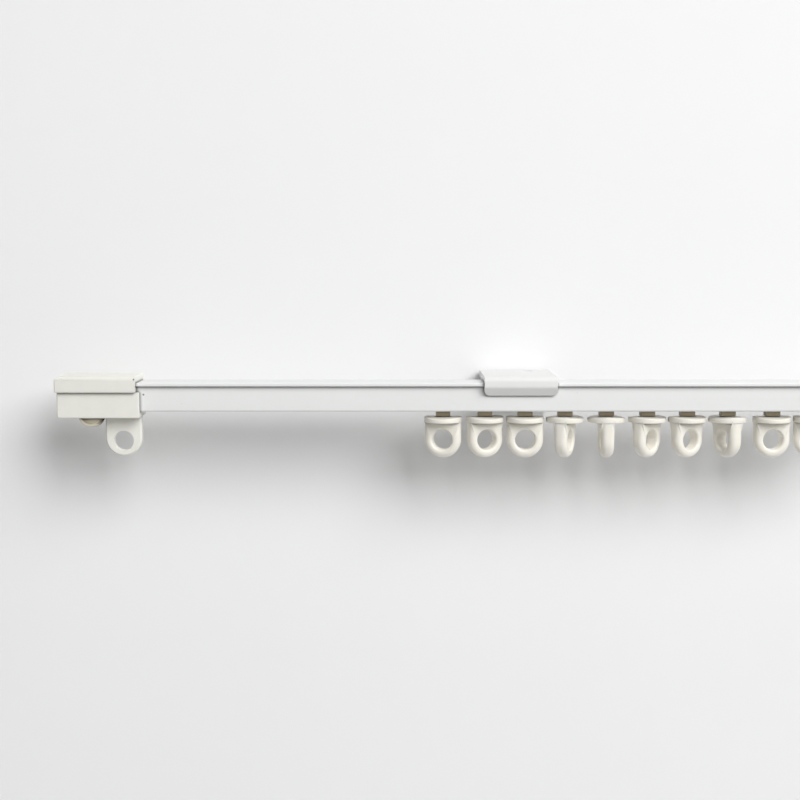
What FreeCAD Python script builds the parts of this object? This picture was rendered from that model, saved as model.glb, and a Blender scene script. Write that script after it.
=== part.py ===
import FreeCAD, Part
import math
import os

V = FreeCAD.Vector
SLIVER = 1e-4

# Lengths are millimetres. X runs along the track, the wall is the plane y = 0, the front is -Y and Z is up.
# The origin lies on the wall, midway between the two screw holes of the left bracket.

# Layout along the track
BRACKET_SPACING = 235.0
END_OVERHANG = 192.0
RUNNER_COUNT = 10
FIRST_RUNNER_X = -31.8
FLANGE_GAPS = (1.7, 1.0, 0.9, 1.5, 1.3, 0.9, 1.1, 2.8, 1.1)
EYE_TURNS = (-12.0, 20.0, 0.0, 67.0, 90.0, 48.0, 34.0, -67.0, 5.0, -15.0)

# Layout across the track
RAIL_TO_WALL = 33.0
SCREWS_ABOVE_RAIL = 4.0

# Rail, an extruded channel with a slot below and an ear along each top edge
RAIL_HEIGHT = 12.0
CHANNEL_WIDTH = 14.5
RAIL_WALL = 1.2
RAIL_TOP = 1.4
EAR_REACH = 2.0
SLOT_WIDTH = 6.5
RAIL_CORNER = 0.8
EAR_ROUND = 0.45

# End cap, one moulding with a fixed eye below it
CAP_FIT = 0.15
CAP_FLOOR = 2.45
CAP_SIDE = 1.85
CAP_ROOF = 2.75
CAP_EAR_SIDE = 1.75
CAP_EAR_FLOOR = 2.35
CAP_END_WALL = 3.0
CAP_LENGTH = 34.6
CAP_MOUTH_STEP = 1.4
CAP_END_STEP = 0.6
CAP_ROOF_ROUND = 2.0
CAP_TOE_ROUND = 2.0
CAP_EDGE_ROUND = 0.7
CAP_MOUTH_BEVEL = 0.5
TAB_WIDTH = 15.0
TAB_THICKNESS = 4.0
TAB_SCREW_GAP = 0.5
TAB_DROP = 16.5
TAB_HOLE = 8.4
TAB_HOLE_DROP = 10.1
TAB_EDGE_BEVEL = 0.6

# Cap screw and its plate nut
SCREW_FROM_END = 13.3
SCREW_DIAMETER = 5.0
SCREW_HOLE_CLEARANCE = 0.2
SCREW_HEAD = 11.0
SCREW_HEAD_HEIGHT = 4.1
SCREW_HEAD_RIM = 1.5
SCREW_HEAD_CROWN = 6.6
SCREW_PAST_NUT = 1.4
SCREW_RECESS_WIDTH = 1.2
SCREW_RECESS_LENGTH = 5.2
SCREW_RECESS_DEPTH = 1.8
THREAD_CLEARANCE = 0.05
NUT_SIDE_CLEARANCE = 0.3
NUT_LENGTH = 10.0
NUT_THICKNESS = 2.5
NUT_SEAT = 0.05

# Bracket, a hook over the rail on an arm from the wall plate
BRACKET_WIDTH = 30.0
ARM_THICKNESS = 2.55
ARM_SEAT = 0.05
CLAW_THICKNESS = 1.7
CLAW_EAR_GAP = 0.3
CLAW_WALL_GAP = 0.35
CLAW_UNDER_EAR = 0.2
CLAW_LIP = 3.6
CLAW_FACE_DROP = 4.3
CLAW_ROUND = 2.0
CLAW_CORNER = 2.2
CLAW_LIP_TAPER = 0.8
PLATE_THICKNESS = 2.0
PLATE_BELOW_RAIL = 4.2
WALL_HOLE = 4.3
WALL_HOLE_SPACING = 18.0
ARM_HOLE = 4.5
ARM_HOLE_X = 5.2
ARM_HOLE_FROM_WALL = 9.5
ARM_BEND = 1.6

# Latch, a slider under the arm that grips the rear ear
LATCH_WIDTH = 15.7
LATCH_THICKNESS = 3.3
LATCH_GAP = 0.15
LATCH_EAR_GAP = 0.3
LATCH_REAR_FROM_WALL = 14.5
LATCH_TAB_WIDTH = 8.0
LATCH_TAB_THICKNESS = 2.0
LATCH_TAB_DROP = 5.0
GUIDE_WALL = 2.0
GUIDE_LIP = 2.0
GUIDE_LIP_THICKNESS = 1.2

# Wheel set of a runner, two wheels and their axle moulded as one
WHEEL_DIAMETER = 8.0
WHEEL_WIDTH = 2.2
WHEEL_LIFT = 0.1
WHEEL_SIDE_GAP = 0.4
AXLE_DIAMETER = 1.6
AXLE_RUNNING_GAP = 0.05
AXLE_SNAP = 0.15

# Runner carriage
CARRIAGE_LENGTH = 9.0
CARRIAGE_LIFT = 0.4
CARRIAGE_HEAD_ROOM = 0.8
CARRIAGE_WHEEL_GAP = 0.2
CARRIAGE_BEVEL = 1.5
NECK_LENGTH = 5.9
NECK_SLOT_GAP = 0.75
NECK_FLANGE_GAP = 0.25
WINDOW_FLOOR = 1.0
WINDOW_HEIGHT = 1.45

# Swivel eye of a runner, one moulding from the head of its stem down to the eye
STEM_DIAMETER = 3.2
STEM_RUNNING_GAP = 0.05
BARB_LENGTH = 4.6
BARB_THICKNESS = 1.6
BARB_SIDE_GAP = 0.15
BARB_SEAT = 0.05
BARB_HEIGHT = 1.2
BARB_TIP_LENGTH = 2.6
FLANGE_DIAMETER = 15.8
FLANGE_THICKNESS = 2.4
FLANGE_ARCH = 0.65
FLANGE_DROP = 2.6
EYE_RADIUS = 7.6
EYE_THICKNESS = 5.5
EYE_HOLE = 8.4
EYE_DROP = 7.3
EYE_BEVEL = 1.3

# Worked out from the sizes above
RAIL_Y = -RAIL_TO_WALL
RAIL_Z = -SCREWS_ABOVE_RAIL
EAR_Z = RAIL_Z + RAIL_HEIGHT - RAIL_TOP
RAIL_TOP_Z = RAIL_Z + RAIL_HEIGHT
LEDGE_Z = RAIL_Z + RAIL_WALL
EAR_HALF = CHANNEL_WIDTH / 2 + EAR_REACH
CHANNEL_HALF = CHANNEL_WIDTH / 2
INNER_HALF = CHANNEL_HALF - RAIL_WALL
TRACK_LEFT = -END_OVERHANG
TRACK_RIGHT = BRACKET_SPACING + END_OVERHANG
CAP_BOTTOM_Z = RAIL_Z - CAP_FIT - CAP_FLOOR
ARM_BOTTOM_Z = RAIL_TOP_Z + ARM_SEAT
ARM_TOP_Z = ARM_BOTTOM_Z + ARM_THICKNESS
AXLE_Z = LEDGE_Z + WHEEL_LIFT + WHEEL_DIAMETER / 2
WHEEL_OUTER = INNER_HALF - WHEEL_SIDE_GAP
WHEEL_INNER = WHEEL_OUTER - WHEEL_WIDTH
FLANGE_TOP_Z = RAIL_Z - FLANGE_DROP
FLANGE_BOTTOM_Z = FLANGE_TOP_Z - FLANGE_THICKNESS
CARRIAGE_Z = LEDGE_Z + CARRIAGE_LIFT
WINDOW_Z = CARRIAGE_Z + WINDOW_FLOOR


def box(x0, x1, y0, y1, z0, z1):
    """Block between two corners."""
    return Part.makeBox(x1 - x0, y1 - y0, z1 - z0, V(x0, y0, z0))


def rod(radius, start, end):
    """Round bar from start to end."""
    return Part.makeCylinder(radius, (end - start).Length, start, end - start)


def rounded_face(corners, place):
    """Face within a polygon of corners (a, b, radius), each rounded by its radius."""
    arcs = []
    for i, (a, b, radius) in enumerate(corners):
        before = corners[i - 1]
        after = corners[(i + 1) % len(corners)]
        corner = V(a, b, 0)
        back = (V(before[0], before[1], 0) - corner).normalize()
        ahead = (V(after[0], after[1], 0) - corner).normalize()
        half_angle = back.getAngle(ahead) / 2
        reach = radius / math.tan(half_angle)
        inset = radius / math.sin(half_angle) - radius
        middle = corner + (back + ahead).normalize() * inset
        arcs.append((corner + back * reach, middle, corner + ahead * reach))
    edges = []
    for i, (start, middle, end) in enumerate(arcs):
        if corners[i][2] > 0:
            edges.append(Part.Arc(place(start), place(middle), place(end)).toShape())
        following = arcs[(i + 1) % len(arcs)][0]
        edges.append(Part.makeLine(place(end), place(following)))
    return Part.Face(Part.Wire(edges))


def prism_x(corners, x0, x1):
    """Outline of (y, z, radius) corners drawn out along X."""
    face = rounded_face(corners, lambda p: V(x0, p.x, p.y))
    return face.extrude(V(x1 - x0, 0, 0))


def prism_y(corners, y0, y1):
    """Outline of (x, z, radius) corners drawn out along Y."""
    face = rounded_face(corners, lambda p: V(p.x, y0, p.y))
    return face.extrude(V(0, y1 - y0, 0))


def prism_z(corners, z0, z1):
    """Outline of (x, y, radius) corners drawn out along Z."""
    face = rounded_face(corners, lambda p: V(p.x, p.y, z0))
    return face.extrude(V(0, 0, z1 - z0))


def rectangle(a0, a1, b0, b1, radii):
    """Corners of a rectangle, from its lower left one round by its lower right one."""
    points = ((a0, b0), (a1, b0), (a1, b1), (a0, b1))
    return [(a, b, radius) for (a, b), radius in zip(points, radii)]


def mirrored(half):
    """A half outline of (across, up, radius) corners followed by its mirror image."""
    return half + [(-a, b, radius) for a, b, radius in reversed(half)]


def on_rail(corners):
    """Moves corners drawn about the rail's centre plane to the rail's place."""
    return [(a + RAIL_Y, b, radius) for a, b, radius in corners]


def merge(shapes):
    """One solid from shapes that overlap."""
    return shapes[0].multiFuse(shapes[1:]).removeSplitter()


def make_rail():
    """Channel with ears, open below along its slot."""
    slot = SLOT_WIDTH / 2
    outside = mirrored([
        (slot, RAIL_Z, 0),
        (CHANNEL_HALF, RAIL_Z, RAIL_CORNER),
        (CHANNEL_HALF, EAR_Z, 0),
        (EAR_HALF, EAR_Z, EAR_ROUND),
        (EAR_HALF, RAIL_TOP_Z, EAR_ROUND),
    ])
    inside = mirrored([
        (-slot, LEDGE_Z, 0),
        (-INNER_HALF, LEDGE_Z, 0),
        (-INNER_HALF, EAR_Z, 0),
    ])
    return prism_x(on_rail(outside + inside), TRACK_LEFT + CAP_END_WALL + CAP_FIT,
                   TRACK_RIGHT - CAP_END_WALL - CAP_FIT)


def make_cap_shell():
    """Outside of the left cap: a wide roof over a narrower body, with rounded edges."""
    top_half = EAR_HALF + CAP_FIT + CAP_EAR_SIDE
    top_z0 = EAR_Z - CAP_FIT - CAP_EAR_FLOOR
    top_z1 = RAIL_TOP_Z + CAP_FIT + CAP_ROOF
    top_x1 = TRACK_LEFT + CAP_LENGTH - CAP_MOUTH_STEP
    body_half = CHANNEL_HALF + CAP_FIT + CAP_SIDE
    body_x0 = TRACK_LEFT + CAP_END_STEP
    body_x1 = TRACK_LEFT + CAP_LENGTH
    edge = CAP_EDGE_ROUND
    roof_round = CAP_ROOF_ROUND
    top = prism_x(on_rail(rectangle(-top_half, top_half, top_z0, top_z1, (edge, edge, roof_round, roof_round))),
                  TRACK_LEFT, top_x1)
    top = top.common(prism_y(rectangle(TRACK_LEFT, top_x1, top_z0, top_z1,
                                       (edge, CAP_MOUTH_BEVEL, CAP_MOUTH_BEVEL, roof_round)),
                             RAIL_Y - top_half, RAIL_Y + top_half))
    top = top.common(prism_z(rectangle(TRACK_LEFT, top_x1, RAIL_Y - top_half, RAIL_Y + top_half,
                                       (edge, 0, 0, edge)), top_z0, top_z1))
    overlap_z = EAR_Z
    body = prism_x(on_rail(rectangle(-body_half, body_half, CAP_BOTTOM_Z, overlap_z, (edge, edge, 0, 0))),
                   body_x0, body_x1)
    body = body.common(prism_y(rectangle(body_x0, body_x1, CAP_BOTTOM_Z, overlap_z,
                                         (CAP_TOE_ROUND, CAP_MOUTH_BEVEL, 0, 0)),
                               RAIL_Y - body_half, RAIL_Y + body_half))
    body = body.common(prism_z(rectangle(body_x0, body_x1, RAIL_Y - body_half, RAIL_Y + body_half,
                                         (edge, CAP_MOUTH_BEVEL, CAP_MOUTH_BEVEL, edge)), CAP_BOTTOM_Z, overlap_z))
    body = body.cut(box(top_x1, body_x1, RAIL_Y - top_half, RAIL_Y + top_half, top_z0, top_z1))
    return merge([top, body])


def make_cap_tab():
    """Flat tab under the cap whose round end holds the fixed eye."""
    x0 = TRACK_LEFT + SCREW_FROM_END + SCREW_HEAD / 2 + TAB_SCREW_GAP
    x1 = x0 + TAB_WIDTH
    bottom = CAP_BOTTOM_Z - TAB_DROP
    top = CAP_BOTTOM_Z + CAP_FLOOR / 2
    tab = round_ended_plate((x0 + x1) / 2, TAB_WIDTH / 2, bottom, top, RAIL_Y - TAB_THICKNESS / 2, TAB_THICKNESS)
    tab = tab.makeChamfer(TAB_EDGE_BEVEL, outline_edges(tab, top))
    centre = V((x0 + x1) / 2, RAIL_Y - TAB_THICKNESS / 2, CAP_BOTTOM_Z - TAB_HOLE_DROP)
    return tab.cut(rod(TAB_HOLE / 2, centre, centre + V(0, TAB_THICKNESS, 0)))


def round_ended_plate(x, radius, bottom, top, y0, thickness):
    """Upright plate whose lower end is a half circle."""
    centre_z = bottom + radius
    left_top, left = V(x - radius, y0, top), V(x - radius, y0, centre_z)
    right_top, right = V(x + radius, y0, top), V(x + radius, y0, centre_z)
    outline = Part.Wire([
        Part.makeLine(left_top, left),
        Part.Arc(left, V(x, y0, bottom), right).toShape(),
        Part.makeLine(right, right_top),
        Part.makeLine(right_top, left_top),
    ])
    return Part.Face(outline).extrude(V(0, thickness, 0))


def outline_edges(plate, top):
    """Edges of an upright plate's front and back faces, apart from those along its top."""
    return [edge for edge in plate.Edges
            if edge.BoundBox.YLength < SLIVER and edge.BoundBox.ZMin < top - SLIVER]


def make_end_cap():
    """Left end cap: the shell, hollowed to take the rail, with its tab and its screw hole."""
    inside = on_rail(mirrored([
        (CHANNEL_HALF + CAP_FIT, RAIL_Z - CAP_FIT, RAIL_CORNER),
        (CHANNEL_HALF + CAP_FIT, EAR_Z - CAP_FIT, 0),
        (EAR_HALF + CAP_FIT, EAR_Z - CAP_FIT, 0),
        (EAR_HALF + CAP_FIT, RAIL_TOP_Z + CAP_FIT, 0),
    ]))
    cap = make_cap_shell().cut(prism_x(inside, TRACK_LEFT + CAP_END_WALL, TRACK_LEFT + CAP_LENGTH))
    foot = V(TRACK_LEFT + SCREW_FROM_END, RAIL_Y, CAP_BOTTOM_Z)
    hole = rod(SCREW_DIAMETER / 2 + SCREW_HOLE_CLEARANCE, foot, foot + V(0, 0, CAP_FLOOR))
    return merge([cap, make_cap_tab()]).cut(hole)


def make_cap_screw():
    """Screw that hangs under the cap, with a bevelled head and a cross recess."""
    x = TRACK_LEFT + SCREW_FROM_END
    depth_z = CAP_BOTTOM_Z - SCREW_HEAD_HEIGHT
    tip = LEDGE_Z + NUT_SEAT + NUT_THICKNESS + SCREW_PAST_NUT
    profile = [
        (0, depth_z, 0),
        (SCREW_HEAD_CROWN / 2, depth_z, 0),
        (SCREW_HEAD / 2, CAP_BOTTOM_Z - SCREW_HEAD_RIM, 0),
        (SCREW_HEAD / 2, CAP_BOTTOM_Z, 0),
        (SCREW_DIAMETER / 2, CAP_BOTTOM_Z, 0),
        (SCREW_DIAMETER / 2, tip, 0),
        (0, tip, 0),
    ]
    face = rounded_face(profile, lambda p: V(x + p.x, RAIL_Y, p.y))
    screw = face.revolve(V(x, RAIL_Y, depth_z), V(0, 0, 1), 360)
    half_long = SCREW_RECESS_LENGTH / 2
    half_wide = SCREW_RECESS_WIDTH / 2
    for half_x, half_y in ((half_long, half_wide), (half_wide, half_long)):
        screw = screw.cut(box(x - half_x, x + half_x, RAIL_Y - half_y, RAIL_Y + half_y,
                              depth_z, depth_z + SCREW_RECESS_DEPTH))
    return screw


def make_cap_nut():
    """Plate nut on the rail's ledges, too wide to turn in the channel."""
    x = TRACK_LEFT + SCREW_FROM_END
    half = INNER_HALF - NUT_SIDE_CLEARANCE
    z0 = LEDGE_Z + NUT_SEAT
    nut = box(x - NUT_LENGTH / 2, x + NUT_LENGTH / 2, RAIL_Y - half, RAIL_Y + half, z0, z0 + NUT_THICKNESS)
    bore = rod(SCREW_DIAMETER / 2 + THREAD_CLEARANCE, V(x, RAIL_Y, z0), V(x, RAIL_Y, z0 + NUT_THICKNESS))
    return nut.cut(bore)


def make_claw():
    """Front hook of a bracket, curled in under the ear with rounded lower corners."""
    back = RAIL_Y - CHANNEL_HALF - CLAW_WALL_GAP
    inner = RAIL_Y - EAR_HALF - CLAW_EAR_GAP
    front = inner - CLAW_THICKNESS
    ledge = EAR_Z - CLAW_UNDER_EAR
    bottom = ledge - CLAW_LIP
    profile = [
        (RAIL_Y, ARM_TOP_Z, 0),
        (front, ARM_TOP_Z, CLAW_ROUND),
        (front, ARM_TOP_Z - CLAW_FACE_DROP, CLAW_ROUND),
        (back - CLAW_LIP_TAPER, bottom, 0),
        (back, bottom, 0),
        (back, ledge, 0),
        (inner, ledge, 0),
        (inner, ARM_BOTTOM_Z, 0),
        (RAIL_Y, ARM_BOTTOM_Z, 0),
    ]
    half = BRACKET_WIDTH / 2
    claw = prism_x(profile, -half, half)
    face = rectangle(-half, half, bottom, ARM_TOP_Z, (CLAW_CORNER, CLAW_CORNER, 0, 0))
    return claw.common(prism_y(face, front, RAIL_Y))


def make_latch_guides():
    """Two rails under the arm that carry the latch by its lower edges."""
    front = RAIL_Y + EAR_HALF + LATCH_EAR_GAP
    rear = -LATCH_REAR_FROM_WALL
    inner = LATCH_WIDTH / 2 + LATCH_GAP
    lip_top = ARM_BOTTOM_Z - 2 * LATCH_GAP - LATCH_THICKNESS
    lip_bottom = lip_top - GUIDE_LIP_THICKNESS
    profile = [
        (inner + GUIDE_WALL, lip_bottom, 0),
        (inner + GUIDE_WALL, ARM_BOTTOM_Z + ARM_THICKNESS / 2, 0),
        (inner, ARM_BOTTOM_Z + ARM_THICKNESS / 2, 0),
        (inner, lip_top, 0),
        (inner - GUIDE_LIP, lip_top, 0),
        (inner - GUIDE_LIP, lip_bottom, 0),
    ]
    other = [(-x, z, radius) for x, z, radius in reversed(profile)]
    return [prism_y(profile, front, rear), prism_y(other, front, rear)]


def make_bracket():
    """Bracket about x = 0: claw, arm, wall plate with two holes and the guides of the latch."""
    half = BRACKET_WIDTH / 2
    plate_bottom = RAIL_Z - PLATE_BELOW_RAIL
    profile = [
        (RAIL_Y, ARM_BOTTOM_Z, 0),
        (-PLATE_THICKNESS, ARM_BOTTOM_Z, ARM_BEND),
        (-PLATE_THICKNESS, plate_bottom, 0),
        (0, plate_bottom, 0),
        (0, ARM_TOP_Z, ARM_BEND + PLATE_THICKNESS),
        (RAIL_Y, ARM_TOP_Z, 0),
    ]
    arm = prism_x(profile, -half, half)
    arm = arm.common(prism_y(rectangle(-half, half, plate_bottom, ARM_TOP_Z, (CLAW_CORNER, CLAW_CORNER, 0, 0)),
                             RAIL_Y, 0))
    bracket = merge([make_claw(), arm] + make_latch_guides())
    for side in (-1, 1):
        centre = V(side * WALL_HOLE_SPACING / 2, 0, 0)
        bracket = bracket.cut(rod(WALL_HOLE / 2, centre - V(0, PLATE_THICKNESS, 0), centre))
    arm_hole = V(ARM_HOLE_X, -ARM_HOLE_FROM_WALL, ARM_BOTTOM_Z)
    return bracket.cut(rod(ARM_HOLE / 2, arm_hole, arm_hole + V(0, 0, ARM_THICKNESS)))


def make_latch():
    """Slider about x = 0 with a nose under the rear ear and a finger tab below."""
    top = ARM_BOTTOM_Z - LATCH_GAP
    bottom = top - LATCH_THICKNESS
    nose_tip = RAIL_Y + CHANNEL_HALF + CLAW_WALL_GAP
    face = RAIL_Y + EAR_HALF + LATCH_EAR_GAP
    rear = -LATCH_REAR_FROM_WALL
    nose_top = EAR_Z - CLAW_UNDER_EAR
    profile = [
        (nose_tip, bottom, 0),
        (rear, bottom, 0),
        (rear, top, 0),
        (face, top, 0),
        (face, nose_top, 0),
        (nose_tip, nose_top, 0),
    ]
    half = LATCH_WIDTH / 2
    slider = prism_x(profile, -half, half)
    tab_half = LATCH_TAB_WIDTH / 2
    tab = prism_y(rectangle(-tab_half, tab_half, bottom - LATCH_TAB_DROP, bottom + LATCH_THICKNESS / 2,
                            (LATCH_TAB_THICKNESS, LATCH_TAB_THICKNESS, 0, 0)),
                  rear - LATCH_TAB_THICKNESS, rear)
    return merge([slider, tab])


def make_wheelset(x):
    """Two wheels either side of the carriage with the axle between them."""
    pieces = [rod(AXLE_DIAMETER / 2, V(x, RAIL_Y - WHEEL_INNER, AXLE_Z), V(x, RAIL_Y + WHEEL_INNER, AXLE_Z))]
    for side in (-1, 1):
        inner = V(x, RAIL_Y + side * WHEEL_INNER, AXLE_Z)
        outer = V(x, RAIL_Y + side * WHEEL_OUTER, AXLE_Z)
        pieces.append(rod(WHEEL_DIAMETER / 2, inner, outer))
    return merge(pieces)


def make_carriage(x):
    """Block between the wheels with a neck through the slot.

    The axle snaps down into a slot, and the swivel's barb shows in a window below it.
    """
    half_long = CARRIAGE_LENGTH / 2
    half_wide = WHEEL_INNER - CARRIAGE_WHEEL_GAP
    y0, y1 = RAIL_Y - half_wide, RAIL_Y + half_wide
    block_z1 = EAR_Z - CARRIAGE_HEAD_ROOM
    block = prism_y([
        (x - half_long, CARRIAGE_Z, 0),
        (x + half_long, CARRIAGE_Z, 0),
        (x + half_long, block_z1 - CARRIAGE_BEVEL, 0),
        (x + half_long - CARRIAGE_BEVEL, block_z1, 0),
        (x - half_long + CARRIAGE_BEVEL, block_z1, 0),
        (x - half_long, block_z1 - CARRIAGE_BEVEL, 0),
    ], y0, y1)
    neck_half = SLOT_WIDTH / 2 - NECK_SLOT_GAP
    neck_z = FLANGE_TOP_Z + NECK_FLANGE_GAP
    neck = box(x - NECK_LENGTH / 2, x + NECK_LENGTH / 2, RAIL_Y - neck_half, RAIL_Y + neck_half, neck_z, WINDOW_Z)
    bore = rod(STEM_DIAMETER / 2 + STEM_RUNNING_GAP, V(x, RAIL_Y, neck_z), V(x, RAIL_Y, WINDOW_Z))
    sweep = math.hypot(BARB_LENGTH, BARB_THICKNESS) / 2 + BARB_SIDE_GAP
    window = box(x - sweep, x + sweep, y0, y1, WINDOW_Z, WINDOW_Z + WINDOW_HEIGHT)
    seat = rod(AXLE_DIAMETER / 2 + AXLE_RUNNING_GAP, V(x, y0, AXLE_Z), V(x, y1, AXLE_Z))
    throat_half = AXLE_DIAMETER / 2 - AXLE_SNAP
    throat = box(x - throat_half, x + throat_half, y0, y1, AXLE_Z, block_z1)
    return merge([block, neck]).cut(merge([bore, window])).cut(merge([seat, throat]))


def make_stem():
    """Stem about the Z axis with a flat barb that snaps into the carriage's window."""
    barb_z = WINDOW_Z + BARB_SEAT
    stem = rod(STEM_DIAMETER / 2, V(0, 0, FLANGE_BOTTOM_Z + FLANGE_THICKNESS / 2), V(0, 0, barb_z))
    barb = prism_y([
        (-BARB_LENGTH / 2, barb_z, 0),
        (BARB_LENGTH / 2, barb_z, 0),
        (BARB_TIP_LENGTH / 2, barb_z + BARB_HEIGHT, 0),
        (-BARB_TIP_LENGTH / 2, barb_z + BARB_HEIGHT, 0),
    ], -BARB_THICKNESS / 2, BARB_THICKNESS / 2)
    return [stem, barb]


def make_flange():
    """Disc about the Z axis, flat below and arched above across the eye."""
    radius = FLANGE_DIAMETER / 2
    arch = (radius ** 2 + FLANGE_ARCH ** 2) / (2 * FLANGE_ARCH)
    disc = rod(radius, V(0, 0, FLANGE_BOTTOM_Z), V(0, 0, FLANGE_TOP_Z))
    vault = rod(arch, V(-radius, 0, FLANGE_TOP_Z - arch), V(radius, 0, FLANGE_TOP_Z - arch))
    return disc.common(vault)


def make_ring():
    """Eye in the XZ plane, straight-sided above and round below, with bevelled edges and a hole."""
    centre_z = FLANGE_BOTTOM_Z - EYE_DROP
    y0 = -EYE_THICKNESS / 2
    top = FLANGE_BOTTOM_Z + FLANGE_THICKNESS / 4
    plate = round_ended_plate(0, EYE_RADIUS, centre_z - EYE_RADIUS, top, y0, EYE_THICKNESS)
    plate = plate.makeChamfer(EYE_BEVEL, outline_edges(plate, top))
    return plate.cut(rod(EYE_HOLE / 2, V(0, y0, centre_z), V(0, -y0, centre_z)))


def make_eye(x, turn):
    """Swivel eye of one runner, turned about its stem."""
    eye = merge([make_flange(), make_ring()] + make_stem())
    eye.rotate(V(0, 0, 0), V(0, 0, 1), turn)
    eye.translate(V(x, RAIL_Y, 0))
    return eye


def runner_places():
    """Distance of each runner's centre along the track."""
    places = [FIRST_RUNNER_X]
    for gap in FLANGE_GAPS[:RUNNER_COUNT - 1]:
        places.append(places[-1] + FLANGE_DIAMETER + gap)
    return places


def mirrored_end(shape):
    """Copy of a left-end piece at the right end of the track."""
    return shape.mirror(V((TRACK_LEFT + TRACK_RIGHT) / 2, 0, 0), V(1, 0, 0))


def moved(shape, x):
    """Copy of a shape moved along the track."""
    copy = shape.copy()
    copy.translate(V(x, 0, 0))
    return copy


def make_parts():
    """Every piece of the track by the name of its node."""
    parts = {"rail": make_rail()}
    cap, screw, nut = make_end_cap(), make_cap_screw(), make_cap_nut()
    parts["end_cap_left"], parts["end_cap_right"] = cap, mirrored_end(cap)
    parts["cap_screw_left"], parts["cap_screw_right"] = screw, mirrored_end(screw)
    parts["cap_nut_left"], parts["cap_nut_right"] = nut, mirrored_end(nut)
    bracket, latch = make_bracket(), make_latch()
    parts["bracket_left"], parts["bracket_right"] = bracket, moved(bracket, BRACKET_SPACING)
    parts["latch_left"], parts["latch_right"] = latch, moved(latch, BRACKET_SPACING)
    for number, (x, turn) in enumerate(zip(runner_places(), EYE_TURNS), start=1):
        parts[f"carriage_{number:02d}"] = make_carriage(x)
        parts[f"wheelset_{number:02d}"] = make_wheelset(x)
        parts[f"eye_{number:02d}"] = make_eye(x, turn)
    return parts


def main():
    """Writes one STEP file for each piece."""
    os.makedirs("parts", exist_ok=True)
    for name, shape in make_parts().items():
        shape.exportStep(f"parts/{name}.step")
        print(name, "solids", len(shape.Solids), "valid", shape.isValid(), "volume", round(shape.Volume, 1))


main()
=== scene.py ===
import math

import bmesh
import bpy
from bpy.props import FloatProperty, FloatVectorProperty, PointerProperty
from bpy.types import Operator, Panel, PropertyGroup
from mathutils import Matrix, Vector


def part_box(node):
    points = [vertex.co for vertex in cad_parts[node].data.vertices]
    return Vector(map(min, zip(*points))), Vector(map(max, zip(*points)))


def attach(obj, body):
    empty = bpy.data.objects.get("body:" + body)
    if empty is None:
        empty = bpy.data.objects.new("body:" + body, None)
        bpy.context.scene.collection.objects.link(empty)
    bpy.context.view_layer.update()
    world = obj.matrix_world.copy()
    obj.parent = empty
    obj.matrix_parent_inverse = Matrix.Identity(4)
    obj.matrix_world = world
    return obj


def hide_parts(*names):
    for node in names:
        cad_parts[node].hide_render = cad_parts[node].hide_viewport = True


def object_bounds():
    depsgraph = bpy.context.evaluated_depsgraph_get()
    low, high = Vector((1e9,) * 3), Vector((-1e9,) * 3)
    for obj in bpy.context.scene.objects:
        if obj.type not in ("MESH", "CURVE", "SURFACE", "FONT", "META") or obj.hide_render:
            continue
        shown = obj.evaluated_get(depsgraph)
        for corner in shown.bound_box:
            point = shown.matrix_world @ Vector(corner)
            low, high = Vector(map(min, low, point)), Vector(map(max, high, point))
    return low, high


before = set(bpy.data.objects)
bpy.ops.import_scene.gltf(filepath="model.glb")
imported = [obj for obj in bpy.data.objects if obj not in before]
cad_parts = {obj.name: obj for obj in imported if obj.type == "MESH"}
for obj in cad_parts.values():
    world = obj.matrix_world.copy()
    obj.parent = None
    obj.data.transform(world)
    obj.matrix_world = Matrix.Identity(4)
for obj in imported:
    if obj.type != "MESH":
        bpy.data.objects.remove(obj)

bl_info = {
    "name": "Curtain Track",
    "version": (1, 0, 0),
    "blender": (4, 5, 0),
    "location": "3D View > Sidebar > Curtain Track",
    "description": "Finishes a wall-mounted curtain track: painted rail, ivory caps and runners, nickel screws",
    "category": "Object",
}

CAD_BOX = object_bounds()
MM = 0.001
FULL_TURN = 2 * math.pi
QUARTER = math.pi / 2
WHITE = (1.0, 1.0, 1.0, 1.0)

RUNNERS = [name[-2:] for name in sorted(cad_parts) if name.startswith("carriage_")]
SIDES = ("left", "right")
ROUND_SHADING = "round_shading"
RAIL_LOW, RAIL_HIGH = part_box("rail")
RAIL_FRONT = Vector((0.0, RAIL_LOW.y, RAIL_HIGH.z))
CAP_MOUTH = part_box("end_cap_left")[1].x

# Half of what the camera takes in across, at a distance of 1.
HALF_WIDTH = 400.0 / 1500.0

# Distance below which two points are one, and below which a point lies on the radius it was made at.
SAME_POINT = 0.001 * MM
ON_RADIUS = 0.01 * MM

# Places of a Mix node's colour sockets, because its number sockets have the same names.
MIX_FIRST, MIX_SECOND, MIX_RESULT = 6, 7, 2

# The openness below which painted crease shade begins, and its colour as a share of the surface's.
CREASE_START = 0.95
CREASE_SHADE_SHARE = 0.16

# A chip's radius, the share of it that is quite dark, and its colour as a share of the surface's.
CHIP_RADIUS = 0.55 * MM
CHIP_CORE = 0.4
CHIP_SHARE = 0.25

# A speck's radius as a share of the distance between specks.
SPECK_RADIUS = 0.05


def colour_property(name, description, default):
    """A colour that the user can change."""
    return FloatVectorProperty(name=name, description=description, default=default, size=3,
                               min=0.0, max=1.0, subtype="COLOR")


def length(name, description, millimetres):
    """A size that the user can change, given in millimetres."""
    return FloatProperty(name=name, description=description, default=millimetres * MM, min=0.0, precision=4,
                         unit="LENGTH")


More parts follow.
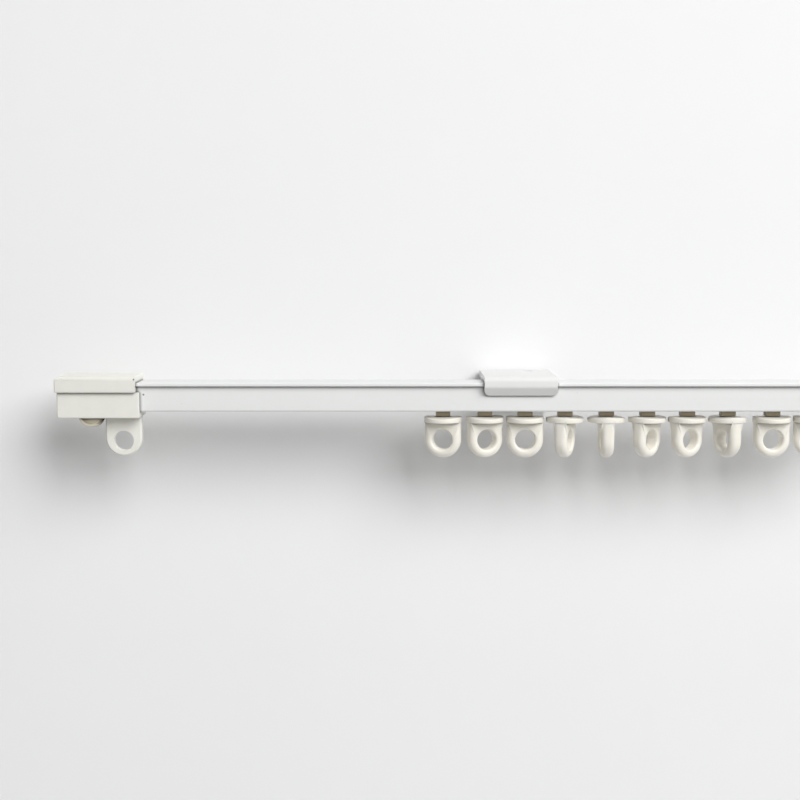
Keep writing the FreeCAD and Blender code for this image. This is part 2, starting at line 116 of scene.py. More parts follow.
class TrackFinish(PropertyGroup):
    """Colours and surface sizes of the track's pieces."""

    rail_colour: colour_property("Rail", "White paint of the rail", (0.83, 0.84, 0.83))
    bracket_colour: colour_property("Brackets", "White paint of the brackets", (0.82, 0.82, 0.81))
    cap_colour: colour_property("Caps", "Ivory plastic of the end caps", (0.84, 0.83, 0.775))
    eye_colour: colour_property("Eyes", "Ivory plastic of the swivel eyes", (0.89, 0.86, 0.785))
    carriage_colour: colour_property("Carriages", "Olive brown plastic of the runner carriages", (0.45, 0.38, 0.27))
    wheel_colour: colour_property("Wheels", "White plastic of the runner wheels", (0.74, 0.74, 0.70))
    nickel_colour: colour_property("Nickel", "Plating of the cap screws", (0.72, 0.66, 0.52))
    steel_colour: colour_property("Steel", "Bare steel of the plate nuts", (0.52, 0.52, 0.51))
    draw_line_pitch: FloatProperty(name="Draw lines", description="Distance between the rail's faint draw lines",
                                   default=0.0006, min=0.0001, max=0.01, unit="LENGTH")
    paint_grain: FloatProperty(name="Paint grain", description="Size of the ripples in the paint",
                               default=0.0012, min=0.0001, max=0.01, unit="LENGTH")
    mould_grain: FloatProperty(name="Mould grain", description="Size of the grain of the moulded plastic",
                               default=0.00035, min=0.0001, max=0.01, unit="LENGTH")
    # Painted crease shade: how far the painted shade in creases reaches out of them, and how dark it gets at its
    # deepest.
    crease_shade_reach: FloatProperty(name="Crease reach", description="How far dust in a crease reaches out of it",
                                default=0.0014, min=0.0001, max=0.01, unit="LENGTH")
    crease_shade_depth: FloatProperty(name="Crease depth", description="How much dust darkens the depth of a crease",
                                default=0.9, min=0.0, max=1.0, subtype="FACTOR")
    smooth_angle: FloatProperty(name="Smooth below", description="Facets that meet at less than this look round",
                                default=math.radians(32.0), min=0.0, max=math.pi, subtype="ANGLE")


class TrackMoulding(PropertyGroup):
    """Sizes of the swivel eyes and cap screws."""

    eye_radius: length("Eye radius", "Outer radius of an eye", 7.6)
    eye_thickness: length("Eye thickness", "Thickness of an eye", 5.5)
    eye_hole: length("Eye hole", "Radius of an eye's hole", 4.2)
    eye_drop: length("Eye drop", "From the flange down to the eye's centre", 7.3)
    eye_round: length("Eye round", "Rounding of an eye's outer edges", 2.2)
    hole_round: length("Hole round", "Rounding of the hole's edges", 0.9)
    flange_thickness: length("Flange", "Thickness of an eye's flange", 2.4)
    flange_arch: length("Flange arch", "Fall of the flange's top towards its sides", 0.65)
    flange_round: length("Flange round", "Rounding of the flange's rim", 0.35)
    stem_radius: length("Stem", "Radius of an eye's stem", 1.6)
    barb_length: length("Barb length", "Length of the barb across the stem", 4.6)
    barb_tip: length("Barb tip", "Length of the barb's upper edge", 2.6)
    barb_thickness: length("Barb thickness", "Thickness of the barb", 1.6)
    barb_height: length("Barb height", "Height of the barb", 1.2)
    head_height: length("Screw head", "Height of a cap screw's head", 4.1)
    head_rim: length("Head rim", "Height of the head's straight rim", 0.8)
    head_crown: length("Head crown", "Radius of the head's flat crown", 2.7)
    head_bulge: length("Head bulge", "How far the head's flank bows out", 0.45)
    recess_length: length("Recess length", "Span of the cross recess", 5.0)
    recess_width: length("Recess width", "Width of the recess's slots", 1.1)
    recess_depth: length("Recess depth", "Depth of the cross recess", 1.8)
    thread_core: length("Thread core", "Radius at the thread's root", 2.1)
    thread_crest: length("Thread crest", "Radius at the thread's crest", 2.48)
    thread_pitch: length("Thread pitch", "Distance between the thread's turns", 0.8)


class TrackStage(PropertyGroup):
    """Camera, light and background."""

    camera_side: FloatProperty(name="Camera side", description="Camera's place along the track from the left bracket",
                               default=-0.0498, unit="LENGTH")
    camera_distance: FloatProperty(name="Camera distance", description="Distance from the rail's front edge",
                                   default=0.615, min=0.1, unit="LENGTH")
    camera_rise: FloatProperty(name="Camera rise", description="Height above the rail's top",
                               default=0.0523, unit="LENGTH")
    camera_pitch: FloatProperty(name="Camera pitch", description="Angle that the camera looks down",
                                default=math.radians(5.5), subtype="ANGLE")
    camera_width: FloatProperty(name="Camera width", description="Horizontal angle of view",
                                default=2 * math.atan(HALF_WIDTH), subtype="ANGLE")
    wall_colour: colour_property("Wall", "Paint of the wall", (0.92, 0.92, 0.925))
    floor_colour: colour_property("Floor", "Paint of the floor", (0.66, 0.66, 0.65))
    floor_drop: FloatProperty(name="Floor drop", description="Floor's depth below the track",
                              default=1.10, min=0.05, unit="LENGTH")
    key_side: FloatProperty(name="Key side", description="Angle of the main light to the right of the wall's normal",
                            default=math.radians(32.0), subtype="ANGLE")
    key_rise: FloatProperty(name="Key rise", description="Angle of the main light above the track",
                            default=math.radians(33.0), subtype="ANGLE")
    key_distance: FloatProperty(name="Key distance", description="Distance of the main light",
                                default=2.6, min=0.2, unit="LENGTH")
    key_size: FloatProperty(name="Key size", description="Side of the main light's square",
                            default=1.69, min=0.01, unit="LENGTH")
    key_power: FloatProperty(name="Key power", description="Power of the main light", default=67.0, min=0.0,
                             unit="POWER")
    fill_strength: FloatProperty(name="Fill", description="Strength of the even light all round", default=0.21,
                                 min=0.0)
    backdrop_strength: FloatProperty(name="Backdrop", description="Brightness of the empty background",
                                     default=0.85, min=0.0, max=1.0)


class Shade:
    """A number, colour or vector in a material, made of sockets and usable in sums and products."""

    def __init__(self, tree, socket):
        self.tree = tree
        self.socket = socket

    def node(self, kind, settings=None, inputs=None, output=0):
        """Adds any node: its settings first, then the values or links of its sockets."""
        made = self.tree.nodes.new(kind)
        for name, value in (settings or {}).items():
            setattr(made, name, value)
        for name, value in (inputs or {}).items():
            target = made.inputs[name]
            if isinstance(value, Shade):
                self.tree.links.new(value.socket, target)
            else:
                target.default_value = value
        return Shade(self.tree, made.outputs[output] if made.outputs else None)

    def maths(self, operation, first, second):
        """Adds a Math node."""
        return self.node("ShaderNodeMath", {"operation": operation}, {0: first, 1: second})

    def __add__(self, other):
        return self.maths("ADD", self, other)

    def __radd__(self, other):
        return self.maths("ADD", other, self)

    def __mul__(self, other):
        return self.maths("MULTIPLY", self, other)

    def __rmul__(self, other):
        return self.maths("MULTIPLY", other, self)


def new_material(name):
    """Material with a Principled shader: returns it, its object coordinates and its shader."""
    material = bpy.data.materials.new(name)
    material.use_nodes = True
    tree = material.node_tree
    tree.nodes.clear()
    start = Shade(tree, None)
    place = start.node("ShaderNodeTexCoord", output="Object")
    surface = start.node("ShaderNodeBsdfPrincipled")
    start.node("ShaderNodeOutputMaterial", inputs={"Surface": surface})
    return material, place, surface.socket.node


def connect(shader, **values):
    """Sets or links sockets of a shader; an underscore in a name stands for a space."""
    for name, value in values.items():
        target = shader.inputs[name.replace("_", " ")]
        if isinstance(value, Shade):
            value.tree.links.new(value.socket, target)
        else:
            target.default_value = value


def noise(place, size, detail=2.0, roughness=0.5, stretch=(1.0, 1.0, 1.0)):
    """Noise whose features have about the given size, stretched along the axes."""
    scale = tuple(1.0 / (size * factor) for factor in stretch)
    scaled = place.node("ShaderNodeMapping", {}, {"Vector": place, "Scale": scale})
    return scaled.node("ShaderNodeTexNoise", {}, {"Vector": scaled, "Scale": 1.0, "Detail": detail,
                                                  "Roughness": roughness}, output="Fac")


def ramped(value, start, end, interpolation="LINEAR"):
    """0 up to the start and 1 from the end on, which may lie below the start."""
    return value.node("ShaderNodeMapRange", {"interpolation_type": interpolation},
                      {"Value": value, "From Min": start, "From Max": end})


def specks(place, pitch):
    """Sparse round specks: 1 inside a speck and 0 outside."""
    cells = place.node("ShaderNodeTexVoronoi", {"feature": "F1"}, {"Vector": place, "Scale": 1.0 / pitch},
                       output="Distance")
    return ramped(cells, SPECK_RADIUS, SPECK_RADIUS / 2, "SMOOTHSTEP")


def shaded(colour, factor):
    """The colour times a factor."""
    return tuple(channel * factor for channel in colour)


def blended(mask, first, second):
    """The first colour where the mask is 0 and the second where it is 1, each plain or made of nodes."""
    first, second = (end if isinstance(end, Shade) else (*end, 1.0) for end in (first, second))
    return mask.node("ShaderNodeMix", {"data_type": "RGBA"},
                     {"Factor": mask, MIX_FIRST: first, MIX_SECOND: second}, output=MIX_RESULT)


def clouded(cloud, colour, darkest, palest):
    """The colour, varied softly between two shares of itself."""
    return blended(cloud, shaded(colour, darkest), shaded(colour, palest))


def painted_crease_shade(place, base, colour, spread=1.0, full=0.45):
    """The base colour with a fine dark line of painted shade, from ambient occlusion, in creases and where pieces
    meet.

    Spread widens the line. Full is the openness at and below which the painted shade is deepest.
    """
    finish = bpy.context.scene.track_finish
    # Ambient occlusion darkens the colour in creases and at joins: this is painted shade.
    openness = place.node("ShaderNodeAmbientOcclusion", {"samples": 8}, {"Distance": finish.crease_shade_reach * spread},
                          output="AO")
    crease = ramped(openness, CREASE_START, full)
    return blended(crease * finish.crease_shade_depth, base, shaded(colour, CREASE_SHADE_SHARE))


def chipped(place, base, colour, centres):
    """The base colour with a small round dark chip at each centre."""
    for centre in centres:
        apart = place.node("ShaderNodeVectorMath", {"operation": "DISTANCE"}, {0: place, 1: centre}, output="Value")
        inside = ramped(apart, CHIP_RADIUS, CHIP_RADIUS * CHIP_CORE, "SMOOTHSTEP")
        base = blended(inside, base, shaded(colour, CHIP_SHARE))
    return base


def bump(height, depth, strength):
    """Surface normal of a height map of the given depth in metres."""
    return height.node("ShaderNodeBump", {}, {"Height": height, "Distance": depth, "Strength": strength})


def painted_metal(name, colour, grain, roughness, coat, draw_pitch=None, chips=()):
    """Satin white paint with a slight ripple, fine specks and, on the rail, faint draw lines and small chips."""
    material, place, shader = new_material(name)
    cloud_size, speck_pitch, speck_depth, speck_share = grain * 30.0, grain * 6.0, 0.25, 0.55
    gloss_range, line_length = 0.10, 400.0
    ripple = noise(place, grain, detail=3.0)
    cloud = noise(place, cloud_size)
    height = ripple
    if draw_pitch:
        lines = noise(place, draw_pitch, detail=3.0, roughness=0.6, stretch=(line_length, 1.0, 1.0))
        height = ripple * 0.5 + lines
        cloud = cloud * 0.5 + lines * 0.5
    speckled = blended(specks(place, speck_pitch) * speck_depth, clouded(cloud, colour, darkest=0.965, palest=1.02),
                       shaded(colour, speck_share))
    worn = chipped(place, speckled, colour, chips)
    # Creases and joins get painted shade in the base colour.
    connect(shader, Base_Color=painted_crease_shade(place, worn, colour),
            Roughness=ripple * gloss_range + (roughness - gloss_range / 2),
            Normal=bump(height, depth=0.03 * MM, strength=0.35),
            Coat_Weight=coat, Coat_Roughness=0.15, Specular_IOR_Level=0.35)
    return material


def moulded_plastic(name, colour, grain, roughness, depth, glow=0.0, chips=()):
    """Moulded plastic with a fine grain, soft clouding, a few darker specks and small chips."""
    material, place, shader = new_material(name)
    cloud_size, speck_pitch, speck_depth, speck_share = grain * 18.0, grain * 14.0, 0.3, 0.5
    gloss_range = 0.12
    fine = noise(place, grain, detail=4.0, roughness=0.6)
    cloud = noise(place, cloud_size, detail=3.0)
    speckled = blended(specks(place, speck_pitch) * speck_depth, clouded(cloud, colour, darkest=0.955, palest=1.03),
                       shaded(colour, speck_share))
    worn = chipped(place, speckled, colour, chips)
    # Creases and joins get painted shade in the base colour.
    connect(shader, Base_Color=painted_crease_shade(place, worn, colour),
            Roughness=fine * gloss_range + (roughness - gloss_range / 2),
            Normal=bump(fine, depth=depth, strength=0.4), Subsurface_Weight=glow,
            Subsurface_Radius=(1.2 * MM, 1.0 * MM, 0.7 * MM), Subsurface_Scale=1.0)
    return material


def bright_metal(name, colour, roughness, scratch):
    """Bare or plated metal with fine scratches and a varying polish."""
    material, place, shader = new_material(name)
    cloud_size, gloss_range = scratch * 12.0, 0.16
    marks = noise(place, scratch, detail=5.0, roughness=0.7, stretch=(1.0, 6.0, 1.0))
    base = clouded(noise(place, cloud_size), colour, darkest=0.88, palest=1.05)
    # Wide, deep painted shade darkens the head's top next to the cap, and with it the reflections there.
    connect(shader, Base_Color=painted_crease_shade(place, base, colour, spread=4.2, full=0.65), Metallic=1.0,
            Roughness=marks * gloss_range + (roughness - gloss_range / 2),
            Normal=bump(marks, depth=0.02 * MM, strength=0.25))
    return material


def round_shading_group(angle):
    """Modifier tree that joins loose facets and shades them round below an angle."""
    group = bpy.data.node_groups.new(ROUND_SHADING, "GeometryNodeTree")
    group.interface.new_socket("Geometry", in_out="INPUT", socket_type="NodeSocketGeometry")
    group.interface.new_socket("Geometry", in_out="OUTPUT", socket_type="NodeSocketGeometry")
    add = group.nodes.new
    link = group.links.new
    start, end = add("NodeGroupInput"), add("NodeGroupOutput")
    forget = add("GeometryNodeRemoveAttribute")
    forget.inputs["Name"].default_value = "custom_normal"
    weld = add("GeometryNodeMergeByDistance")
    weld.inputs["Distance"].default_value = 2 * SAME_POINT
    faces, edges = add("GeometryNodeSetShadeSmooth"), add("GeometryNodeSetShadeSmooth")
    edges.domain = "EDGE"
    bend = add("GeometryNodeInputMeshEdgeAngle")
    compare = add("FunctionNodeCompare")
    compare.data_type = "FLOAT"
    compare.operation = "LESS_EQUAL"
    compare.inputs["B"].default_value = angle
    link(start.outputs[0], forget.inputs["Geometry"])
    link(forget.outputs[0], weld.inputs["Geometry"])
    link(weld.outputs[0], faces.inputs["Geometry"])
    link(faces.outputs[0], edges.inputs["Geometry"])
    link(bend.outputs["Unsigned Angle"], compare.inputs["A"])
    link(compare.outputs["Result"], edges.inputs["Shade Smooth"])
    link(edges.outputs[0], end.inputs[0])
    return group


def dress(names, material):
    """Gives CAD nodes their material and round shading, which they share."""
    angle = bpy.context.scene.track_finish.smooth_angle
    group = bpy.data.node_groups.get(ROUND_SHADING) or round_shading_group(angle)
    for name in names:
        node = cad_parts[name]
        node.data.materials.clear()
        node.data.materials.append(material)
        node.modifiers.new(ROUND_SHADING, "NODES").node_group = group


def new_piece(name, shape, material, node, body):
    """Object from a bmesh that stands for a CAD node: it rides on the node's body and shades round."""
    bmesh.ops.recalc_face_normals(shape, faces=shape.faces[:])
    mesh = bpy.data.meshes.new(name)
    shape.to_mesh(mesh)
    shape.free()
    mesh.polygons.foreach_set("use_smooth", [True] * len(mesh.polygons))
    mesh.set_sharp_from_angle(angle=bpy.context.scene.track_finish.smooth_angle)
    mesh.materials.append(material)
    piece = bpy.data.objects.new(name, mesh)
    bpy.context.scene.collection.objects.link(piece)
    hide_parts(node)
    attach(piece, body)
    return piece


def arc(centre, radius, start, end, steps=4):
    """Points of a round corner of a profile, from one angle to another."""
    angles = [start + (end - start) * i / steps for i in range(steps + 1)]
    return [(centre[0] + radius * math.cos(a), centre[1] + radius * math.sin(a)) for a in angles]


def bowed(start, end, bulge, steps=6):
    """Points of a line between two points that bows out to its right by the bulge."""
    a, b = Vector(start), Vector(end)
    along = (b - a).normalized()
    outward = Vector((along.y, -along.x))
    return [tuple(a.lerp(b, i / steps) + outward * 4.0 * bulge * i / steps * (1.0 - i / steps))
            for i in range(steps + 1)]


def revolve(shape, profile, steps=64):
    """Spins a profile of (radius, height) points that starts and ends on the Z axis."""
    verts = [shape.verts.new((radius, 0.0, height)) for radius, height in profile]
    edges = [shape.edges.new(pair) for pair in zip(verts, verts[1:])]
    bmesh.ops.spin(shape, geom=verts + edges, axis=(0.0, 0.0, 1.0), angle=FULL_TURN, steps=steps, use_merge=True)
    bmesh.ops.remove_doubles(shape, verts=shape.verts[:], dist=SAME_POINT)


def tapered_block(shape, size, place, top_scale):
    """Box of a size about a place whose upper face is scaled along X."""
    verts = bmesh.ops.create_cube(shape, size=1.0)["verts"]
    bmesh.ops.scale(shape, verts=verts, vec=size)
    upper = [vert for vert in verts if vert.co.z > 0]
    bmesh.ops.scale(shape, verts=upper, vec=(top_scale, 1.0, 1.0))
    bmesh.ops.translate(shape, verts=verts, vec=place)


def both(stem):
    """The left and right node of a piece."""
    return [f"{stem}_{side}" for side in SIDES]


def each_runner(stem):
    """The nodes of a piece that every runner has."""
    return [f"{stem}_{number}" for number in RUNNERS]


class TRACK_OT_rail(Operator):
    """Paint the rail satin white with faint draw lines"""

    bl_idname = "track.rail"
    bl_label = "Rail"

    def execute(self, context):
        finish = context.scene.track_finish
        by_the_cap = Vector((CAP_MOUTH + 1.6 * MM, RAIL_LOW.y + 2.0 * MM, RAIL_HIGH.z - 4.9 * MM))
        paint = painted_metal("rail_paint", finish.rail_colour, finish.paint_grain, roughness=0.45, coat=0.06,
                              draw_pitch=finish.draw_line_pitch, chips=[by_the_cap])
        dress(["rail"], paint)
        return {"FINISHED"}


class TRACK_OT_brackets(Operator):
    """Paint the brackets and finish their latches"""

    bl_idname = "track.brackets"
    bl_label = "Brackets"

    def execute(self, context):
        finish = context.scene.track_finish
        paint = painted_metal("bracket_paint", finish.bracket_colour, finish.paint_grain, roughness=0.5, coat=0.04)
        plastic = moulded_plastic("latch_plastic", finish.bracket_colour, finish.mould_grain, roughness=0.5,
                                  depth=0.03 * MM)
        dress(both("bracket"), paint)
        dress(both("latch"), plastic)
        return {"FINISHED"}


class TRACK_OT_caps(Operator):
    """Finish the end caps in matt ivory plastic"""

    bl_idname = "track.caps"
    bl_label = "End caps"

    def execute(self, context):
        finish = context.scene.track_finish
        on_the_roof = Vector((CAP_MOUTH - 1.7 * MM, RAIL_LOW.y - 1.75 * MM, RAIL_HIGH.z + 1.65 * MM))
        plastic = moulded_plastic("cap_plastic", finish.cap_colour, finish.mould_grain, roughness=0.48,
                                  depth=0.04 * MM, glow=0.1, chips=[on_the_roof])
        dress(both("end_cap"), plastic)
        return {"FINISHED"}


def screw_shape(sizes, low, high):
    """Cap screw that stands head down: domed head, core and a helical thread."""
    shape = bmesh.new()
    head_radius = (high.x - low.x) / 2
    head_top = sizes.head_height
    tip = high.z - low.z
    edge = 0.25 * MM
    flank = bowed((sizes.head_crown, 0.0), (head_radius, head_top - sizes.head_rim), sizes.head_bulge)
    rim = arc((head_radius - edge, head_top - edge), edge, 0.0, QUARTER)
    end_bevel = sizes.thread_crest - sizes.thread_core
    revolve(shape, [(0.0, 0.0), *flank, *rim, (sizes.thread_core, head_top), (sizes.thread_core, tip - end_bevel),
                    (sizes.thread_core - end_bevel, tip), (0.0, tip)])
    add_thread(shape, sizes, head_top, tip - end_bevel)
    bmesh.ops.translate(shape, verts=shape.verts[:], vec=((low.x + high.x) / 2, (low.y + high.y) / 2, low.z))
    return shape


def add_thread(shape, sizes, start, end, steps_in_turn=24):
    """Helical ridge round the core between two heights."""
    pitch = sizes.thread_pitch
    sunk, tooth_share = 0.05 * MM, 0.98
    inner = sizes.thread_core - sunk
    turns = math.floor((end - start) / pitch) - 1
    tooth = [(inner, start), (sizes.thread_crest, start + pitch / 2), (inner, start + pitch * tooth_share)]
    verts = [shape.verts.new((radius, 0.0, height)) for radius, height in tooth]
    loop = [shape.edges.new((verts[i], verts[(i + 1) % 3])) for i in range(3)]
    bmesh.ops.spin(shape, geom=verts + loop, axis=(0.0, 0.0, 1.0), dvec=(0.0, 0.0, pitch / steps_in_turn),
                   angle=FULL_TURN * turns, steps=steps_in_turn * turns)
    bmesh.ops.holes_fill(shape, edges=[edge for edge in shape.edges if edge.is_boundary])


def recess_shape(sizes, low, high):
    """Cross-shaped cutter of the screw's recess, narrower at its bottom."""
    shape = bmesh.new()
    width, depth, bottom_share = sizes.recess_width, sizes.recess_depth, 0.55
    verts = bmesh.ops.create_cube(shape, size=1.0)["verts"]
    bmesh.ops.scale(shape, verts=verts, vec=(width, width, 2.0 * depth))
    sides = [face for face in shape.faces if abs(face.normal.z) < 0.5]
    arms = bmesh.ops.extrude_discrete_faces(shape, faces=sides)["faces"]
    for face in arms:
        bmesh.ops.translate(shape, verts=face.verts[:], vec=face.normal * (sizes.recess_length - width) / 2)
    deep = [vert for vert in shape.verts if vert.co.z > 0]
    bmesh.ops.scale(shape, verts=deep, vec=(bottom_share, bottom_share, 1.0))
    bmesh.ops.recalc_face_normals(shape, faces=shape.faces[:])
    bmesh.ops.translate(shape, verts=shape.verts[:], vec=((low.x + high.x) / 2, (low.y + high.y) / 2, low.z))
    return shape


def cut(piece, cutter_shape):
    """Takes the cutter's volume out of a piece."""
    mesh = bpy.data.meshes.new("cutter")
    cutter_shape.to_mesh(mesh)
    cutter_shape.free()
    cutter = bpy.data.objects.new("cutter", mesh)
    bpy.context.scene.collection.objects.link(cutter)
    modifier = piece.modifiers.new("recess", "BOOLEAN")
    modifier.object = cutter
    modifier.operation = "DIFFERENCE"
    modifier.solver = "EXACT"
    result = bpy.data.meshes.new_from_object(piece.evaluated_get(bpy.context.evaluated_depsgraph_get()))
    piece.modifiers.clear()
    old, piece.data = piece.data, result
    bpy.data.meshes.remove(old)
    bpy.data.objects.remove(cutter)
    bpy.data.meshes.remove(mesh)


class TRACK_OT_fasteners(Operator):
    """Make the nickel cap screws and finish the plate nuts in steel"""

    bl_idname = "track.fasteners"
    bl_label = "Fasteners"

    def execute(self, context):
        finish, sizes = context.scene.track_finish, context.scene.track_moulding
        nickel = bright_metal("nickel", finish.nickel_colour, roughness=0.16, scratch=0.6 * MM)
        steel = bright_metal("steel", finish.steel_colour, roughness=0.36, scratch=0.4 * MM)
        for side in SIDES:
            node = f"cap_screw_{side}"
            shape = screw_shape(sizes, *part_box(node))
            screw = new_piece(f"domed_screw_{side}", shape, nickel, node, "track")
            cut(screw, recess_shape(sizes, *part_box(node)))
        dress(both("cap_nut"), steel)
        return {"FINISHED"}


def turn_of(node):
    """Angle about Z of the eye's plane, from the spread of the vertices below the flange."""
    low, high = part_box(node)
    middle = (low + high) / 2
    below_flange = low.z + (high.z - low.z) * 0.3
    points = [vert.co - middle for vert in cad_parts[node].data.vertices if vert.co.z < below_flange]
    across = sum(p.x * p.y for p in points)
    spread = sum(p.x ** 2 - p.y ** 2 for p in points)
    return 0.5 * math.atan2(2.0 * across, spread)


def add_ring(shape, sizes, top, round_steps=56):
    """Eye with its hole: a round lower half, straight sides up to the top, and soft edges."""
    radius, hole, thickness = sizes.eye_radius, sizes.eye_hole, sizes.eye_thickness
    upright = Matrix.Rotation(QUARTER, 4, "X")
    bmesh.ops.create_circle(shape, segments=round_steps, radius=hole, matrix=upright)
    outside = bmesh.ops.create_circle(shape, segments=round_steps, radius=radius, matrix=upright)["verts"]
    for vert in outside:
        if vert.co.z > SAME_POINT:
            vert.co.x /= math.cos(FULL_TURN / round_steps)
            vert.co.z = top
    faces = bmesh.ops.bridge_loops(shape, edges=shape.edges[:])["faces"]
    copied = bmesh.ops.extrude_face_region(shape, geom=faces)["geom"]
    back = [item for item in copied if isinstance(item, bmesh.types.BMVert)]
    bmesh.ops.translate(shape, verts=back, vec=(0.0, thickness, 0.0))
    bmesh.ops.translate(shape, verts=shape.verts[:], vec=(0.0, -thickness / 2, 0.0))
    bmesh.ops.recalc_face_normals(shape, faces=shape.faces[:])
    for target, amount, steps in ((hole, sizes.hole_round, 4), (radius, sizes.eye_round, 7)):
        bmesh.ops.bevel(shape, geom=outline(shape, sizes, target, top), offset=amount, offset_type="OFFSET",
                        affect="EDGES", segments=steps, profile=0.5, material=-1, clamp_overlap=False)


def outline(shape, sizes, radius, top):
    """Edges of the front and back faces that bound the hole or, at the outer radius, the outside."""
    chosen = []
    for edge in shape.edges:
        first, second = (vert.co for vert in edge.verts)
        level = abs(first.y - second.y) < SAME_POINT
        on_face = abs(abs(first.y) - sizes.eye_thickness / 2) < SAME_POINT
        if radius == sizes.eye_hole:
            bounds = all(abs(math.hypot(point.x, point.z) - radius) < ON_RADIUS for point in (first, second))
        else:
            bounds = all(on_outside(point, sizes) for point in (first, second))
            bounds = bounds and min(first.z, second.z) < top - ON_RADIUS
        if level and on_face and bounds:
            chosen.append(edge)
    return chosen


def on_outside(point, sizes):
    """Whether a point lies on the round lower half or on a straight side."""
    if point.z > SAME_POINT:
        return abs(abs(point.x) - sizes.eye_radius) < ON_RADIUS
    return abs(math.hypot(point.x, point.z) - sizes.eye_radius) < ON_RADIUS


def add_flange(shape, sizes, radius, bottom, stem_top):
    """Flange, arched on top, with the stem above it."""
    edge, ring_count = sizes.flange_round, 6
    top = bottom + sizes.flange_thickness
    ring_step = (radius - edge - sizes.stem_radius) / ring_count
    rings = [radius - edge - ring_step * i for i in range(1, ring_count + 1)]
    under = [(radius * share, bottom) for share in (0.0, 0.5)]
    profile = [*under, *arc((radius - edge, bottom + edge), edge, -QUARTER, 0.0),
               *arc((radius - edge, top - edge), edge, 0.0, QUARTER), *[(r, top) for r in rings],
               (sizes.stem_radius, stem_top), (0.0, stem_top)]
    before = set(shape.verts)
    revolve(shape, profile)
    for vert in shape.verts:
        if vert not in before and bottom + 2.0 * edge < vert.co.z < top + edge:
            vert.co.z -= sizes.flange_arch * (vert.co.y / radius) ** 2


def eye_shape(sizes, node):
    """Swivel eye of one runner in its place, turned as its node is."""
    low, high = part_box(node)
    shape = bmesh.new()
    flange_bottom = sizes.eye_drop
    centre_z = low.z + sizes.eye_radius
    top = flange_bottom + sizes.flange_thickness / 4
    stem_top = high.z - centre_z - sizes.barb_height
    add_ring(shape, sizes, top)
    add_flange(shape, sizes, (high.x - low.x) / 2, flange_bottom, stem_top)
    tapered_block(shape, (sizes.barb_length, sizes.barb_thickness, sizes.barb_height),
                  (0.0, 0.0, stem_top + sizes.barb_height / 2), sizes.barb_tip / sizes.barb_length)
    place = Matrix.Translation(((low.x + high.x) / 2, (low.y + high.y) / 2, centre_z))
    bmesh.ops.transform(shape, matrix=place @ Matrix.Rotation(turn_of(node), 4, "Z"), verts=shape.verts[:])
    return shape


class TRACK_OT_eyes(Operator):
    """Mould the ivory swivel eyes with soft edges"""

    bl_idname = "track.eyes"
    bl_label = "Swivel eyes"

    def execute(self, context):
        finish, sizes = context.scene.track_finish, context.scene.track_moulding
        plastic = moulded_plastic("eye_plastic", finish.eye_colour, finish.mould_grain, roughness=0.38,
                                  depth=0.02 * MM, glow=0.15)
        for number in RUNNERS:
            node = f"eye_{number}"
            new_piece(f"soft_eye_{number}", eye_shape(sizes, node), plastic, node, f"swivel_{number}")
        return {"FINISHED"}


class TRACK_OT_runners(Operator):
    """Finish the runners' brown carriages and white wheels"""

    bl_idname = "track.runners"
    bl_label = "Runners"

    def execute(self, context):
        finish = context.scene.track_finish
        grain = finish.mould_grain
        carriage = moulded_plastic("carriage_plastic", finish.carriage_colour, grain, roughness=0.5,
                                   depth=0.03 * MM)
        wheel = moulded_plastic("wheel_plastic", finish.wheel_colour, grain, roughness=0.35, depth=0.01 * MM)
        dress(each_runner("carriage"), carriage)
        dress(each_runner("wheelset"), wheel)
        return {"FINISHED"}


def plane(name, corners, material):
    """Flat stage piece between four corners."""
    mesh = bpy.data.meshes.new(name)
    shape = bmesh.new()
    shape.faces.new([shape.verts.new(corner) for corner in corners])
    shape.to_mesh(mesh)
    shape.free()
    mesh.materials.append(material)
    flat = bpy.data.objects.new(name, mesh)
    bpy.context.scene.collection.objects.link(flat)


def wall_material(colour):
    """Matt wall paint with a faint roller texture, clear from behind so that it hides nothing there.

    Towards the lamp, at the upper right, the paint turns greyer, so that the wall stays below white there.
    """
    material, place, shader = new_material("wall_paint")
    up_right = (0.7, 0.0, 0.7)
    paint = clouded(noise(place, 50 * MM), colour, darkest=0.99, palest=1.005)
    reach = place.node("ShaderNodeVectorMath", {"operation": "DOT_PRODUCT"}, {0: place, 1: up_right}, output="Value")
    near_lamp, greyest = ramped(reach, 200 * MM, 1000 * MM), shaded(colour, 0.6)
    connect(shader, Base_Color=blended(near_lamp, paint, greyest), Roughness=0.9, Specular_IOR_Level=0.2,
            Normal=bump(noise(place, 4 * MM, detail=3.0), depth=0.05 * MM, strength=0.2))
    tree = material.node_tree
    output = next(node for node in tree.nodes if node.type == "OUTPUT_MATERIAL")
    back = place.node("ShaderNodeNewGeometry", output="Backfacing")
    seen = place.node("ShaderNodeLightPath", output="Is Camera Ray")
    clear = place.node("ShaderNodeBsdfTransparent")
    mixed = place.node("ShaderNodeMixShader", {}, {"Fac": back * seen, 1: Shade(tree, shader.outputs[0]), 2: clear})
    tree.links.new(mixed.socket, output.inputs["Surface"])
    return material


def floor_material(colour):
    """Plain pale floor with a faint clouding."""
    material, place, shader = new_material("floor_paint")
    connect(shader, Base_Color=clouded(noise(place, 80 * MM), colour, darkest=0.99, palest=1.01),
            Roughness=0.85, Specular_IOR_Level=0.2)
    return material


